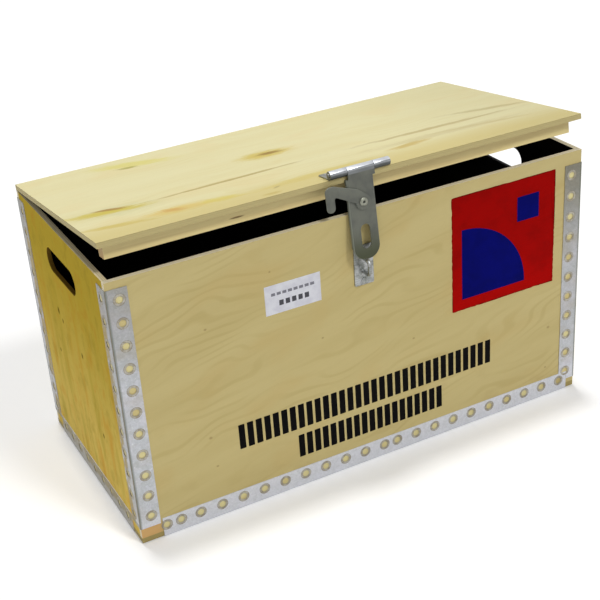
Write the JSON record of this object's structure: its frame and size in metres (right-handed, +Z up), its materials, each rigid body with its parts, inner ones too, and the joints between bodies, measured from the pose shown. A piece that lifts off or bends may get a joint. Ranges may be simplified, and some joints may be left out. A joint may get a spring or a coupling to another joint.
{
  "type": "wooden tool box",
  "caption": "Plywood tool box with perforated steel edging, hand holes, an inner divider, a rear-hinged lid and a hasp whose lever hooks through a staple.",
  "frame": {"origin": "floor level under the middle of the plywood body", "axes": "+X to the right as seen from the front, +Y to the back, +Z up"},
  "size_m": [0.6146, 0.327, 0.3875],
  "materials": {
    "birch_plywood": "clear-coated birch plywood, dark film inside",
    "dark_board": "dark film-faced plywood",
    "galvanised_steel": "galvanised sheet, matte with speckle",
    "bright_zinc": "bright zinc plate",
    "dull_zinc": "dull grey zinc plate",
    "label_paper": "matte label with ruled lines"
  },
  "bodies": {
    "body": {"bottom_board": "birch_plywood", "front_panel": "birch_plywood", "back_panel": "birch_plywood", "left_panel": "birch_plywood", "right_panel": "birch_plywood", "divider": "dark_board", "front_left_post": "galvanised_steel", "front_right_post": "galvanised_steel", "back_left_post": "galvanised_steel", "back_right_post": "galvanised_steel", "front_bottom_angle": "galvanised_steel", "back_bottom_angle": "galvanised_steel", "left_bottom_angle": "galvanised_steel", "right_bottom_angle": "galvanised_steel", "keeper_plate": "bright_zinc", "keeper_rivets": "bright_zinc", "staple": "bright_zinc", "left_hinge_back_leaf": "bright_zinc", "right_hinge_back_leaf": "bright_zinc", "left_hinge_pin": "bright_zinc", "right_hinge_pin": "bright_zinc", "back_hinge_screws": "bright_zinc", "contents_label": "label_paper"},
    "lid": {"lid_board": "birch_plywood", "front_batten": "birch_plywood", "back_batten": "birch_plywood", "left_hinge_lid_leaf": "bright_zinc", "right_hinge_lid_leaf": "bright_zinc", "lid_hinge_screws": "bright_zinc", "hasp_leaf": "bright_zinc", "hasp_pin": "bright_zinc", "hasp_screws": "bright_zinc"},
    "strap": {"hasp_strap": "dull_zinc", "lever_rivet": "bright_zinc"},
    "lever": {"latch_lever": "dull_zinc"}
  },
  "joints": [
    {"name": "lid_hinge", "type": "hinge", "parent": "body", "child": "lid", "pos_m": [0, 0.155, 0.3295], "axis": [-1, 0, 0], "range_deg": [-7.08, 180]},
    {"name": "strap_hinge", "type": "hinge", "parent": "lid", "child": "strap", "pos_m": [0, -0.14727, 0.3825], "axis": [-1, 0, 0], "range_deg": [0, 240]},
    {"name": "lever_pivot", "type": "hinge", "parent": "strap", "child": "lever", "pos_m": [-0.0025, -0.15702, 0.34704], "axis": [0, -0.9924, 0.1234], "range_deg": [0, 90]}
  ]
}
